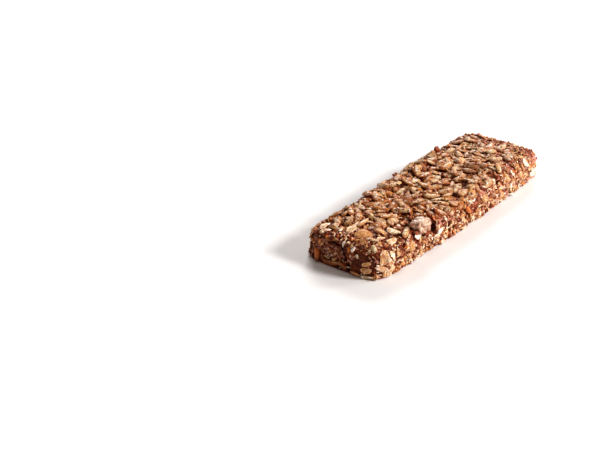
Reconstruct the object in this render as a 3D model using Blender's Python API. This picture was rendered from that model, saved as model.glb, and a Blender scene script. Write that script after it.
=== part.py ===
"""Rye bread bar: a pressed slab of rye crumb and dates, shingled on top with sunflower kernels and set
round its sides with oat flakes and chopped almond, all fused into one solid.

Metres, +Z up. +X runs along the bar and the bar rests on z = 0, centred on the origin."""

import math
import random

import bmesh
import bpy
from mathutils import Matrix, Vector, noise
from mathutils.bvhtree import BVHTree

MM = 0.001

# The slab that holds everything
SLAB_LENGTH = 143 * MM
SLAB_WIDTH = 42.6 * MM
SLAB_HEIGHT = 15.6 * MM
CORNER_RADIUS = 8 * MM  # the upright corners, seen from above
TOP_EDGE_RADIUS = 5 * MM
BOTTOM_EDGE_RADIUS = 1.5 * MM
SLAB_CELLS = (26, 8, 4)  # faces along, across and up

# How the hand-cut slab departs from a block
FAR_CORNER_CUT = 5.5 * MM  # the +X end is this much shorter on its +Y side
NEAR_SPREAD = 5 * MM  # the -X end spreads this far to its +Y side at its foot, and half of it on top
NEAR_BULGE = 1.8 * MM  # and swells this far in its middle
SIDE_BULGE = 1.4 * MM  # both long sides swell at mid length
FAR_DROP = 0.14  # the +X end is this share lower on its -Y side, and half of it on its +Y side
LUMP_SIZE, LUMP_HEIGHT = 17 * MM, 0.7 * MM
CRAG_SIZE, CRAG_HEIGHT = 4.5 * MM, 0.55 * MM
CRAG_START = Vector((7, 3, 1))  # where in the noise the crags are read, away from the lumps
SHIFT = Vector((1.4, -0.6, 0)) * MM  # brings the finished bar's middle over the origin

# What is pressed into it: length, width, thickness
KERNEL = Vector((8.2, 4.3, 2.4)) * MM
FLAKE = Vector((7.0, 5.4, 1.1)) * MM
ALMOND = Vector((5.2, 3.8, 3.0)) * MM
DATE = Vector((11.0, 8.0, 6.0)) * MM
SIZE_SPREAD = 0.14  # pieces are up to this share larger or smaller
KERNEL_TAPER = (0.75, 0.3)  # how much narrower and thinner a kernel grows along its length
FLAKE_TAPER = 0.84  # a flake's smaller face to its larger one
CHUNK_CORNER = 0.22  # how much of a chunk's edges its cut corners take

# How many, and how they lie
KERNEL_COUNT = 155
FLAKE_COUNT = 54
FOOT_FLAKE_COUNT = 24
ALMOND_COUNT = 8
CANDIDATES = 12  # places tried for each piece; the emptiest is taken
HEADINGS = 10  # headings tried for each kernel; the one with the most room is taken
LEVEL_ENOUGH = 0.7  # kernels lie where the slab's normal rises at least this much
KERNEL_RISE = 0.3 * MM  # of a kernel's middle above the slab
MOST_LIFT = 1.2 * MM  # of a kernel that lies across its neighbours
KERNEL_TILT = (0.12, 0.2)  # radians, end to end and side to side
SIDE_BAND = (0.12, 0.92)  # heights of what is set in the sides, as shares of the slab's
FOOT_BAND = (0.11, 0.2)
FLAKE_TILT, FOOT_FLAKE_TILT, ALMOND_TILT = 0.3, 0.12, 0.6
FOOT_FLAKE_DEPTH = 0.3 * FLAKE.y  # of a foot flake's middle inside the slab
FLOOR_GAP = 0.3 * MM  # what is set in the sides stays this far above the flat base
DATE_PLACE = (-0.5, -0.84)  # of the one large date piece, as shares of half length and half width
DATE_HEADING = 0.3
KERNEL_SEED, FLAKE_SEED, ALMOND_SEED, FOOT_SEED = 15, 3, 8, 5
SLIVER = 0.004 * MM  # corners that the union leaves this close together become one


def clear_scene():
    for obj in list(bpy.data.objects):
        bpy.data.objects.remove(obj)


def new_collection(name):
    collection = bpy.data.collections.new(name)
    bpy.context.scene.collection.children.link(collection)
    return collection


def crumb_material():
    material = bpy.data.materials.new("rye_and_seeds")
    material.use_nodes = True
    shader = material.node_tree.nodes["Principled BSDF"]
    shader.inputs["Base Color"].default_value = (0.27, 0.135, 0.07, 1)
    shader.inputs["Roughness"].default_value = 0.55
    shader.inputs["Metallic"].default_value = 0
    return material


def clamp(value, reach):
    return max(-reach, min(reach, value))


def rounded(x, y, z):
    """A point of the sharp block moved onto the block with rounded corners and edges."""
    edge = TOP_EDGE_RADIUS if z > 0 else BOTTOM_EDGE_RADIUS
    heart = Vector((clamp(x, SLAB_LENGTH / 2 - CORNER_RADIUS), clamp(y, SLAB_WIDTH / 2 - CORNER_RADIUS)))
    out = Vector((x, y)) - heart
    reach = max(abs(out.x), abs(out.y))
    past_side = reach - (CORNER_RADIUS - edge)
    past_top = abs(z) - (SLAB_HEIGHT / 2 - edge)
    height = abs(z)
    if past_side > 0 and past_top > 0:
        share = max(past_side, past_top) / math.hypot(past_side, past_top)
        reach = CORNER_RADIUS - edge + past_side * share
        height = SLAB_HEIGHT / 2 - edge + past_top * share
    flat = heart + out.normalized() * reach
    return Vector((flat.x, flat.y, math.copysign(height, z) + SLAB_HEIGHT / 2))


def hand_cut(point):
    """The same point once the bar has been pressed and cut by hand: clipped, spread and lower in places."""
    along = 2 * point.x / SLAB_LENGTH
    across = 2 * point.y / SLAB_WIDTH
    far, near = max(0, along) ** 2, max(0, -along) ** 3
    to_left = (across + 1) / 2
    x = point.x - FAR_CORNER_CUT * far * to_left**2 - NEAR_BULGE * near * (1 - across**2)
    foot = 1 - point.z / (2 * SLAB_HEIGHT)
    y = point.y + NEAR_SPREAD * near * to_left * foot + SIDE_BULGE * across * (1 - along**2)
    return Vector((x, y, point.z * (1 - FAR_DROP * far * (1 - to_left / 2))))


def relief(point):
    """Height of the lumps and crags at a point of the slab's surface."""
    lumps = noise.noise(point / LUMP_SIZE) * LUMP_HEIGHT
    crags = noise.noise(point / CRAG_SIZE + CRAG_START) * CRAG_HEIGHT
    return lumps + crags


def slab_bmesh():
    """The slab: a cube cut into cells, rounded, pressed out of true and made craggy; its base stays flat."""
    slab = bmesh.new()
    bmesh.ops.create_cube(slab, size=2)
    for axis, cells in enumerate(SLAB_CELLS):
        for cut in range(1, cells):
            plane = Vector((0, 0, 0))
            plane[axis] = 1
            geometry = slab.verts[:] + slab.edges[:] + slab.faces[:]
            place = plane * (2 * cut / cells - 1)
            bmesh.ops.bisect_plane(slab, geom=geometry, plane_co=place, plane_no=plane)
    for vertex in slab.verts:
        x, y, z = vertex.co
        vertex.co = hand_cut(rounded(x * SLAB_LENGTH / 2, y * SLAB_WIDTH / 2, z * SLAB_HEIGHT / 2))
    slab.normal_update()
    moves = {v: v.normal * relief(v.co) for v in slab.verts if v.co.z > BOTTOM_EDGE_RADIUS}
    for vertex, move in moves.items():
        vertex.co += move
    return slab


def kernel_bmesh():
    """A sunflower kernel, blunt at -X and pointed at +X."""
    kernel = bmesh.new()
    bmesh.ops.create_uvsphere(kernel, u_segments=5, v_segments=3, radius=0.5)
    bmesh.ops.rotate(kernel, matrix=Matrix.Rotation(math.pi / 2, 3, "Y"), verts=kernel.verts)
    narrower, thinner = KERNEL_TAPER
    for vertex in kernel.verts:
        vertex.co.y *= 1 - narrower * vertex.co.x
        vertex.co.z *= 1 - thinner * vertex.co.x
    return kernel


def flake_bmesh():
    """A rolled oat flake: a thin oval disc, a little narrower on one face."""
    flake = bmesh.new()
    radius = 0.5
    bmesh.ops.create_cone(
        flake, cap_ends=True, segments=6, radius1=radius, radius2=radius * FLAKE_TAPER, depth=1
    )
    return flake


def chunk_bmesh():
    """A chopped almond or date: a block with its corners cut off."""
    chunk = bmesh.new()
    bmesh.ops.create_cube(chunk, size=1)
    bmesh.ops.bevel(chunk, geom=chunk.verts[:], offset=CHUNK_CORNER, affect="VERTICES")
    return chunk


def piece(name, shape, matrix, collection):
    """One seed, flake or chunk at its place, as an object for the union."""
    mesh = bpy.data.meshes.new(name)
    shape.to_mesh(mesh)
    mesh.transform(matrix)
    obj = bpy.data.objects.new(name, mesh)
    collection.objects.link(obj)
    return obj


def placed(centre, normal, heading, size, tilt=(0, 0)):
    """The matrix that lays a unit piece at centre, flat on normal, turned by heading and tipped by tilt."""
    lay = normal.to_track_quat("Z", "Y").to_matrix().to_4x4()
    turn = Matrix.Rotation(heading, 4, "Z")
    tip = Matrix.Rotation(tilt[0], 4, "Y") @ Matrix.Rotation(tilt[1], 4, "X")
    return Matrix.Translation(centre) @ lay @ turn @ tip @ Matrix.Diagonal(size.to_4d())


def emptiest(draw, taken):
    """Of a few random places, the one furthest from all that are taken."""
    places = [place for place in (draw() for _ in range(CANDIDATES)) if place]
    return max(places, key=lambda p: min(((p[0] - t).length for t in taken), default=1))


def top_place(surface, rng):
    """A random point of the slab's top with its normal, or None where the ray meets the side."""
    x = rng.uniform(-1, 1) * (SLAB_LENGTH / 2 + NEAR_BULGE)
    y = rng.uniform(-1, 1) * (SLAB_WIDTH / 2 + NEAR_SPREAD)
    hit, normal, _, _ = surface.ray_cast(Vector((x, y, 2 * SLAB_HEIGHT)), Vector((0, 0, -1)))
    return (hit, normal) if hit and normal.z > LEVEL_ENOUGH else None


def side_place(surface, rng, band):
    """A random point of the slab's sides and ends, in a band of its height, with its normal."""
    around = rng.uniform(0, 2 * (SLAB_LENGTH + SLAB_WIDTH))
    z = rng.uniform(*band) * SLAB_HEIGHT
    if around < 2 * SLAB_LENGTH:
        x = around % SLAB_LENGTH - SLAB_LENGTH / 2
        y = math.copysign(SLAB_WIDTH / 2, around - SLAB_LENGTH)
    else:
        around -= 2 * SLAB_LENGTH
        x = math.copysign(SLAB_LENGTH / 2, around - SLAB_WIDTH)
        y = around % SLAB_WIDTH - SLAB_WIDTH / 2
    hit, normal, _, _ = surface.find_nearest(hand_cut(rounded(x, y, z - SLAB_HEIGHT / 2)))
    return hit, normal


def gap_between(place, heading, other, other_heading):
    """How far two kernels, seen as rods along their headings, are apart on the top."""
    half = (KERNEL.x - KERNEL.y) / 2
    rod = Vector((math.cos(heading), math.sin(heading))) * half
    other_rod = Vector((math.cos(other_heading), math.sin(other_heading))) * half
    steps = (-1, -0.33, 0.33, 1)
    apart = (place - other).xy
    return min((apart + rod * a - other_rod * b).length for a in steps for b in steps)


def lay_kernels(surface, collection):
    """Kernels dropped one by one, each turned to where it has most room and lifted if it lies on others."""
    rng = random.Random(KERNEL_SEED)
    shape = kernel_bmesh()
    laid = []
    for number in range(KERNEL_COUNT):
        place, normal = emptiest(lambda: top_place(surface, rng), [k[0] for k in laid])
        close = [k for k in laid if (k[0] - place).length < KERNEL.x]
        best_gap, heading = -1, 0
        for _ in range(HEADINGS):
            tried = rng.uniform(0, 2 * math.pi)
            gap = min((gap_between(place, tried, *k) for k in close), default=KERNEL.x)
            if gap > best_gap:
                best_gap, heading = gap, tried
        laid.append((place, heading))
        lift = min(MOST_LIFT, max(0, KERNEL.y - best_gap) * 0.5)
        size = KERNEL * rng.uniform(1 - SIZE_SPREAD, 1 + SIZE_SPREAD)
        tilt = [rng.gauss(0, spread) for spread in KERNEL_TILT]
        matrix = placed(place + normal * (KERNEL_RISE + lift), normal, heading, size, tilt)
        piece(f"kernel_{number}", shape, matrix, collection)
    shape.free()


def clear_of_floor(shape, matrix):
    """The same matrix, raised if the piece would come too near the level of the base."""
    lowest = min((matrix @ vertex.co).z for vertex in shape.verts)
    return Matrix.Translation((0, 0, max(0, FLOOR_GAP - lowest))) @ matrix


def set_in_sides(surface, collection, name, shape, size, count, seed, tip):
    """Flakes or chunks pressed into the sides and ends, spread evenly and clear of the base."""
    rng = random.Random(seed)
    taken = []
    while len(taken) < count:
        place, normal = emptiest(lambda: side_place(surface, rng, SIDE_BAND), taken)
        taken.append(place)
        grown = size * rng.uniform(1 - SIZE_SPREAD, 1 + SIZE_SPREAD)
        tilt = (rng.gauss(0, tip), rng.gauss(0, tip))
        matrix = placed(place, normal, rng.uniform(0, 2 * math.pi), grown, tilt)
        piece(f"{name}_{len(taken)}", shape, clear_of_floor(shape, matrix), collection)


def set_round_foot(surface, collection, shape):
    """Flakes that lie nearly level round the foot of the bar, their edges standing out of it."""
    rng = random.Random(FOOT_SEED)
    taken = []
    while len(taken) < FOOT_FLAKE_COUNT:
        place, normal = emptiest(lambda: side_place(surface, rng, FOOT_BAND), taken)
        taken.append(place)
        tilt = (rng.gauss(0, FOOT_FLAKE_TILT), rng.gauss(0, FOOT_FLAKE_TILT))
        heading = rng.uniform(0, 2 * math.pi)
        matrix = placed(place - normal * FOOT_FLAKE_DEPTH, Vector((0, 0, 1)), heading, FLAKE, tilt)
        piece(f"foot_flake_{len(taken)}", shape, clear_of_floor(shape, matrix), collection)


def set_date(surface, collection, shape):
    """The one large date piece that breaks the top edge of the -Y side."""
    x, y = DATE_PLACE[0] * SLAB_LENGTH / 2, DATE_PLACE[1] * SLAB_WIDTH / 2
    hit, normal, _, _ = surface.ray_cast(Vector((x, y, 2 * SLAB_HEIGHT)), Vector((0, 0, -1)))
    piece("date", shape, placed(hit - normal * DATE.z / 4, normal, DATE_HEADING, DATE), collection)


def drop_scraps(mesh):
    """Keeps the outer skin alone: the loose scraps and sealed hollows that the union left go."""
    whole = bmesh.new()
    whole.from_mesh(mesh)
    bmesh.ops.remove_doubles(whole, verts=whole.verts, dist=SLIVER)
    unseen, shells = set(whole.faces), []
    while unseen:
        shell, edge = set(), [unseen.pop()]
        while edge:
            face = edge.pop()
            shell.add(face)
            linked = {f for e in face.edges if e.is_manifold for f in e.link_faces} & unseen
            unseen -= linked
            edge.extend(linked)
        shells.append(shell)
    shells.sort(key=len)
    scraps = [face for shell in shells[:-1] for face in shell]
    bmesh.ops.delete(whole, geom=scraps, context="FACES")
    whole.to_mesh(mesh)
    whole.free()
    return len(shells) - 1


def fuse(bar, toppings):
    """One Boolean union of the slab with all that is set in it."""
    union = bar.modifiers.new("fuse", "BOOLEAN")
    union.operation = "UNION"
    union.solver = "EXACT"
    union.operand_type = "COLLECTION"
    union.collection = toppings
    fused = bpy.data.meshes.new_from_object(bar.evaluated_get(bpy.context.evaluated_depsgraph_get()))
    bar.modifiers.remove(union)
    bar.data = fused
    for obj in list(toppings.objects):
        bpy.data.objects.remove(obj)
    bpy.data.collections.remove(toppings)
    return drop_scraps(fused)


def main():
    clear_scene()
    bar_collection = new_collection("rye_bread_bar")
    toppings = new_collection("toppings")
    slab = slab_bmesh()
    surface = BVHTree.FromBMesh(slab)
    mesh = bpy.data.meshes.new("bar")
    slab.to_mesh(mesh)
    slab.free()
    bar = bpy.data.objects.new("bar", mesh)
    bar_collection.objects.link(bar)

    flake, chunk = flake_bmesh(), chunk_bmesh()
    lay_kernels(surface, toppings)
    set_in_sides(surface, toppings, "flake", flake, FLAKE, FLAKE_COUNT, FLAKE_SEED, FLAKE_TILT)
    set_in_sides(surface, toppings, "almond", chunk, ALMOND, ALMOND_COUNT, ALMOND_SEED, ALMOND_TILT)
    set_round_foot(surface, toppings, flake)
    set_date(surface, toppings, chunk)
    flake.free()
    chunk.free()

    scraps = fuse(bar, toppings)
    bar.data.transform(Matrix.Translation(SHIFT))
    bar.data.materials.clear()
    bar.data.materials.append(crumb_material())
    triangles = sum(len(face.vertices) - 2 for face in bar.data.polygons)
    corners = [Vector(corner) for corner in bar.bound_box]
    middle = (corners[0] + corners[6]) / 2 / MM
    print(f"bar: {triangles} triangles, {scraps} scraps dropped, middle {middle.xy} mm")


main()
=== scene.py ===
# %% [markdown]
# # A rye bread bar
#
# The bar is a slab of sticky rye crumb and dates, pressed flat and cut by hand. Sunflower kernels
# cover its top like shingles. Oat flakes, seeds and chopped almonds show in its sides.
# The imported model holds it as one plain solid. This script dresses that solid: it makes the sticky
# mass again with a fine crumb, and then presses thousands of small pieces into it, one kind at a time.

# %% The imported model
import math

import bmesh
import bpy
import numpy as np
from mathutils import Matrix, Vector, noise
from mathutils.bvhtree import BVHTree


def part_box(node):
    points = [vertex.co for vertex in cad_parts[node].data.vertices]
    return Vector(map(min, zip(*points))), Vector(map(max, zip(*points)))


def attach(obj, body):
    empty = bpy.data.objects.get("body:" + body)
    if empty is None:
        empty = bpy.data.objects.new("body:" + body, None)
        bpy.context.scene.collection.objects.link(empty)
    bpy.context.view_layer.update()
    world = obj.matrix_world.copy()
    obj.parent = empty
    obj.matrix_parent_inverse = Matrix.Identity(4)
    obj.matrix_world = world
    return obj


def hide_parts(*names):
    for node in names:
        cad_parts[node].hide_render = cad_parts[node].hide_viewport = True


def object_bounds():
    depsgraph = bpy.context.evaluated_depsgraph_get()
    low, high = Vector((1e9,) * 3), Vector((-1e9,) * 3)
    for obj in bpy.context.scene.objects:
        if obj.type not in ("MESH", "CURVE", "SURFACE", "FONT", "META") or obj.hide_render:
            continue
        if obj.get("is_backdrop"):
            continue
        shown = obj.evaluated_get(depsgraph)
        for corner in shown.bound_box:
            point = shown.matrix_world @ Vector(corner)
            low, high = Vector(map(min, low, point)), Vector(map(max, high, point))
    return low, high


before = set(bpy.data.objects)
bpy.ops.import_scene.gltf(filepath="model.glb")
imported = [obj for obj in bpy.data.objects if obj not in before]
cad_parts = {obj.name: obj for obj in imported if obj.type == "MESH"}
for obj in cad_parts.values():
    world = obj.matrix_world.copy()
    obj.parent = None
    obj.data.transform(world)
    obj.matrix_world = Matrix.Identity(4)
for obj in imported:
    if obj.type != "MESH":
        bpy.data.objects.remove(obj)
CAD_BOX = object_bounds()
LOW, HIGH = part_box("bar")
MM = 0.001
bpy.ops.object.select_all(action="DESELECT")
print("the solid is", [round(side / MM, 1) for side in HIGH - LOW], "mm")

# %% [markdown]
# ## Sizes
#
# These few sizes drive everything, and they are the ones that the solid was made from. The slab is the
# mass alone; the seeds stand out of it. It isn't a true block: the far end is cut skew and is lower,
# the near end has spread, and both long sides swell a little. `MIDDLE` is where the slab's own middle
# lies, because the finished bar, and not the bare slab, is centred on the origin.

# %% Sizes of the slab
LENGTH, WIDTH, HEIGHT = 143 * MM, 42.6 * MM, 15.6 * MM
CORNER, TOP_EDGE, BOTTOM_EDGE = 8 * MM, 5 * MM, 1.5 * MM
FAR_CORNER_CUT, FAR_DROP = 5.5 * MM, 0.14
NEAR_SPREAD, NEAR_BULGE, SIDE_BULGE = 5 * MM, 1.8 * MM, 1.4 * MM
MIDDLE = Vector((1.4, -0.6, 0)) * MM
print("the mass alone is", [round(side / MM, 1) for side in (LENGTH, WIDTH, HEIGHT)], "mm")

# %% [markdown]
# ## The camera
#
# It comes first, because a few pieces are placed where the picture shows them, along a line of sight.
# A long lens from 1.4 m away gives the flat look of a studio picture. `AIM` is the point of the floor
# in the middle of the picture, so the bar itself lies to the right of the middle.

# %% Camera
AZIMUTH, ELEVATION, ROLL = math.radians(-52.74), math.radians(28.52), math.radians(-0.4)
DISTANCE, LENS, SENSOR = 1435 * MM, 171.3, 36
AIM = Vector((-47.1, 45.6, 0)) * MM + MIDDLE
PICTURE = (600, 450)

bpy.ops.object.camera_add()
camera = bpy.context.active_object
flat = math.cos(ELEVATION)
back = Vector((math.sin(AZIMUTH) * flat, -math.cos(AZIMUTH) * flat, math.sin(ELEVATION)))
camera.location = AIM + back * DISTANCE
facing = back.to_track_quat("Z", "Y").to_matrix()
camera.rotation_euler = (facing @ Matrix.Rotation(ROLL, 3, "Z")).to_euler()
camera.data.lens, camera.data.sensor_width = LENS, SENSOR
camera.data.clip_end = 20
bpy.context.scene.camera = camera
bpy.context.view_layer.update()


def line_of_sight(across, down):
    """Where the line through a pixel of the picture starts, and its direction."""
    centre = Vector(PICTURE) / 2
    slope = Vector((across - centre.x, centre.y - down)) * SENSOR / LENS / PICTURE[0]
    direction = camera.matrix_world.to_3x3() @ Vector((slope.x, slope.y, -1))
    return camera.location.copy(), direction.normalized()


print("camera", round(camera.location.length, 3), "m from the bar's middle")

# %% [markdown]
# ## Helpers for modelling by hand
#
# Each piece starts as a primitive, is shaped in edit mode and finished with modifiers. An operator acts
# on what is selected, so the selection is made here in code, by a test on each vertex, edge or face.
# Points are read into arrays for the sums that no operator does, and are put back after them.

# %% Modelling helpers
def named(name):
    """The primitive just added, under its own name."""
    piece = bpy.context.active_object
    piece.name = piece.data.name = name
    return piece


def lying_sphere(name, segments, rings):
    """A unit sphere whose poles lie along X."""
    bpy.ops.mesh.primitive_uv_sphere_add(
        segments=segments, ring_count=rings, radius=0.5, rotation=(0, math.pi / 2, 0)
    )
    sphere = named(name)
    bpy.ops.object.transform_apply(location=True, rotation=True, scale=True)
    return sphere


def select_in(piece, kind, chosen):
    """Edit mode on a piece, with the vertices, edges or faces selected that pass the test."""
    bpy.ops.object.mode_set(mode="EDIT")
    bpy.ops.mesh.select_mode(type=kind)
    bpy.ops.mesh.select_all(action="DESELECT")
    mesh = bmesh.from_edit_mesh(piece.data)
    for element in {"VERT": mesh.verts, "EDGE": mesh.edges, "FACE": mesh.faces}[kind]:
        element.select_set(bool(chosen(element)))
    mesh.select_flush_mode()
    bmesh.update_edit_mesh(piece.data)


def apply(piece, kind, **settings):
    """Adds a modifier of that kind with those settings, and applies it."""
    modifier = piece.modifiers.new(kind.lower(), kind)
    for key, value in settings.items():
        setattr(modifier, key, value)
    bpy.ops.object.modifier_apply(modifier=modifier.name)


def dent(piece, cloud_size, strength, direction="NORMAL", cloud_depth=2):
    """Moves a piece's surface in and out by a cloud texture. Strength is the whole range."""
    clouds = bpy.data.textures.new(f"{piece.name}_dents", "CLOUDS")
    clouds.noise_scale, clouds.noise_depth = cloud_size, cloud_depth
    apply(piece, "DISPLACE", texture=clouds, strength=strength, mid_level=0.5, direction=direction)


def read(items, key):
    """One vector of each vertex or face, as an array with three columns."""
    values = np.empty(len(items) * 3, np.float32)
    items.foreach_get(key, values)
    return values.reshape(-1, 3).astype(float)


def points_of(piece):
    return read(piece.data.vertices, "co")


def put_points(piece, points):
    piece.data.vertices.foreach_set("co", points.astype(np.float32).ravel())
    piece.data.update()


def keep(mesh, name, values):
    """Keeps one number for each point of a mesh, under that name, for its finish."""
    mesh.attributes.new(name, "FLOAT", "POINT").data.foreach_set("value", values)


def ease(value, low, high):
    """0 below low, 1 above high, straight in between."""
    return np.clip((value - low) / (high - low), 0, 1)


# %% [markdown]
# ## The slab
#
# A cube at the slab's size gets its upright edges bevelled first, then the rim of its top, then the rim
# of its foot, as a baker's frame would leave it. A voxel remesh turns the few large faces into some
# seventy thousand even ones, which is what the crumb needs to be pressed into real relief.

# %% Slab with rounded edges
VOXEL = 0.5 * MM

bpy.ops.mesh.primitive_cube_add(size=1, location=(0, 0, HEIGHT / 2), scale=(LENGTH, WIDTH, HEIGHT))
mass = named("bar_mass")
bpy.ops.object.transform_apply(location=True, rotation=True, scale=True)
select_in(mass, "EDGE", lambda edge: abs(edge.verts[0].co.z - edge.verts[1].co.z) > HEIGHT / 2)
bpy.ops.mesh.bevel(offset=CORNER, segments=6, affect="EDGES")
select_in(mass, "EDGE", lambda edge: min(v.co.z for v in edge.verts) > HEIGHT - VOXEL)
bpy.ops.mesh.bevel(offset=TOP_EDGE, segments=5, affect="EDGES")
select_in(mass, "EDGE", lambda edge: max(v.co.z for v in edge.verts) < VOXEL)
bpy.ops.mesh.bevel(offset=BOTTOM_EDGE, segments=2, affect="EDGES")
bpy.ops.object.mode_set(mode="OBJECT")
apply(mass, "REMESH", mode="VOXEL", voxel_size=VOXEL, use_smooth_shade=True)
print("slab:", len(mass.data.polygons), "faces")

# %% [markdown]
# ## Cut by hand
#
# The same five departures from a block that the solid has. They are sums on the points' places along
# and across the bar, which run from -1 to 1, so the whole slab bends without a seam.

# %% Pressing the slab out of true
def hand_cut(points):
    x, y, z = points.T
    along, across = 2 * x / LENGTH, 2 * y / WIDTH
    far, near = np.maximum(0, along) ** 2, np.maximum(0, -along) ** 3
    to_left = (across + 1) / 2
    foot = 1 - z / (2 * HEIGHT)
    x = x - FAR_CORNER_CUT * far * to_left**2 - NEAR_BULGE * near * (1 - across**2)
    y = y + NEAR_SPREAD * near * to_left * foot + SIDE_BULGE * across * (1 - along**2)
    return np.column_stack((x, y, z * (1 - FAR_DROP * far * (1 - to_left / 2))))


put_points(mass, hand_cut(points_of(mass)))
print("cut by hand it is", (np.ptp(points_of(mass), axis=0) / MM).round(1), "mm")

# %% [markdown]
# ## Facing out
#
# Seeds are pressed in square to the bar's general surface, and not to each crumb. So the smooth slab's
# points, and the directions that its points and faces look in, are read now, before the crumb.

# %% The smooth surface, kept for later
smooth_points, smooth_normals = points_of(mass), read(mass.data.vertex_normals, "vector")
FACE_OUT = read(mass.data.polygons, "normal")
print(f"{(FACE_OUT[:, 2] > 0.7).mean():.0%} of the faces look up")

# %% [markdown]
# ## Crumb
#
# The mass isn't smooth: it has slow lumps, crags where crumbs broke away, a fine grain, and pits between
# the crumbs. Each is a noise of its own size. The first two are those of the solid. Pits are made by
# keeping only the peaks of a noise and pushing them in. The cut face right of the fold in the near end
# is smoother: it keeps less of the grain and the pits. At the foot all relief fades out, so that the
# base stays flat.

# %% Relief of the crumb
LUMP_SIZE, LUMP_HEIGHT = 17 * MM, 0.7 * MM
CRAG_SIZE, CRAG_HEIGHT, CRAG_START = 4.5 * MM, 0.55 * MM, Vector((7, 3, 1))
GRAIN_SIZE, GRAIN_HEIGHT = 1.5 * MM, 0.55 * MM
PIT_SIZE, PIT_DEPTH, PIT_LEVEL = 3.2 * MM, 2.6 * MM, 0.22
SMOOTH_END, FOOT_FLAT = 0.7, 0.2
FOLD_TOP, FOLD_FOOT = Vector((0, 3.9, 15.5)) * MM, Vector((0, -3.4, 3.5)) * MM

fold_run = np.array((FOLD_FOOT - FOLD_TOP).yz)


def left_of_fold(points):
    """How far each point lies to the left of the fold's line, as seen from the near end."""
    return points[:, 1] - FOLD_TOP.y - (points[:, 2] - FOLD_TOP.z) * fold_run[0] / fold_run[1]


def relief(point, torn):
    """How far a point of the slab stands out, in metres. Torn is its share of grain and pits."""
    lumps = noise.noise(point / LUMP_SIZE) * LUMP_HEIGHT
    crags = noise.noise(point / CRAG_SIZE + CRAG_START) * CRAG_HEIGHT
    grain = noise.noise(point / GRAIN_SIZE) * GRAIN_HEIGHT
    pits = max(0, noise.noise(point / PIT_SIZE) - PIT_LEVEL) * PIT_DEPTH
    return lumps + crags + (grain - pits) * torn


to_left_of_fold = ease(left_of_fold(smooth_points), 0, 1.5 * MM)
smooth = ease(-smooth_normals[:, 0], 0.4, 0.9) * (1 - to_left_of_fold)
torn = 1 - SMOOTH_END * smooth
heights = np.array([relief(Vector(point), share) for point, share in zip(smooth_points, torn)])
heights *= ease(smooth_points[:, 2] / BOTTOM_EDGE - FOOT_FLAT, 0, 1)
print("crumb relief from", (heights.min() / MM).round(2), "to", (heights.max() / MM).round(2), "mm")

# %% [markdown]
# ## The fold in the near end
#
# A dark fold runs down the near end where the mass was pushed together, and the mass to its left stands
# back a little. The fold is a groove along the line between two points of the end, deepest in its
# middle and with soft shoulders.

# %% Fold
FOLD_WIDTH, FOLD_DEPTH, STEP_BACK = 1.2 * MM, 4.4 * MM, 2.3 * MM
FOLD_ENDS = 0.4  # how deep the fold is at its ends, as a share of its depth in the middle


def beside_fold(points):
    """For each point its share of the way down the fold, and how far beside the fold it is."""
    from_top = points[:, 1:] - np.array(FOLD_TOP.yz)
    share = np.clip(from_top @ fold_run / (fold_run @ fold_run), 0, 1)
    return share, np.linalg.norm(from_top - share[:, None] * fold_run, axis=1)


share, aside = beside_fold(smooth_points)
on_near_end = smooth_normals[:, 0] < -0.5
heights -= on_near_end * STEP_BACK * ease(left_of_fold(smooth_points), 0, FOLD_WIDTH)
groove = np.exp(-((aside / FOLD_WIDTH) ** 2))
heights -= on_near_end * FOLD_DEPTH * groove * (FOLD_ENDS + (1 - FOLD_ENDS) * np.sin(share * math.pi))
print("fold of", (np.linalg.norm(fold_run) / MM).round(1), "mm")

# %% [markdown]
# ## A hollow and a hump
#
# Beside the date piece the side has a deep hollow, and the far left corner has a hump. Both are bells,
# which fall off smoothly round a point. Then the whole relief goes onto the slab. Three numbers are kept
# for its finish: `relief`, by which painted shade darkens the hollows, `on_torn_side`, where the crumb
# is paler, and `darker`, on the hump and the smooth part of the near end.

# %% Hollow and hump
HOLLOW, HOLLOW_SIZE, HOLLOW_DEPTH = Vector((-27, -21.3, 11.5)) * MM, Vector((1.7, 4, 3)) * MM, 3.6 * MM
HUMP, HUMP_SIZE, HUMP_HEIGHT = Vector((58, 16, 15)) * MM, Vector((9, 6, 8)) * MM, 0.6 * MM
HUMP_ALONG, HUMP_ACROSS = (46 * MM, 52 * MM), (12 * MM, 15 * MM)
DARKER_HUMP, DARKER_SMOOTH = 0.3, 0.07


def bell(points, middle, size):
    """1 round the middle, and falling to 0 outside that size."""
    return np.exp(-((((points - np.array(middle)) / np.array(size)) ** 2).sum(axis=1) ** 2))


def on_hump(x, y):
    """0 off the hump and 1 on it, seen from above. It reaches from its inner rim to the corner."""
    return ease(x, *HUMP_ALONG) * ease(y, *HUMP_ACROSS)


hump, hollow = bell(smooth_points, HUMP, HUMP_SIZE), bell(smooth_points, HOLLOW, HOLLOW_SIZE)
heights += HUMP_HEIGHT * hump - HOLLOW_DEPTH * hollow
put_points(mass, smooth_points + smooth_normals * heights[:, None])
on_torn_side = (1 - ease(smooth_normals[:, 2], 0.4, 0.8)) * ease(smooth_normals[:, 0], -0.8, -0.3)
darker = DARKER_HUMP * on_hump(*smooth_points[:, :2].T) + DARKER_SMOOTH * smooth
# The finish darkens the hollows by this relief: painted shade.
keep(mass.data, "relief", heights / MM)
keep(mass.data, "on_torn_side", on_torn_side)
keep(mass.data, "darker", darker)
print("the relief now runs from", (heights.min() / MM).round(2), "mm")

# %% [markdown]
# ## Where things lie
#
# Two ways of asking the surface where a piece goes. `spread` picks faces at random but evenly: for each
# piece it tries a few and keeps the loneliest. `seen_at` follows a line of sight to the slab.

# %% Asking the surface
def tree_of(piece):
    """A search tree of a piece's surface, for rays and nearest points."""
    faces = [tuple(face.vertices) for face in piece.data.polygons]
    return BVHTree.FromPolygons(points_of(piece).tolist(), faces)


FACE_CENTRE = read(mass.data.polygons, "center")
surface = tree_of(mass)


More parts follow.
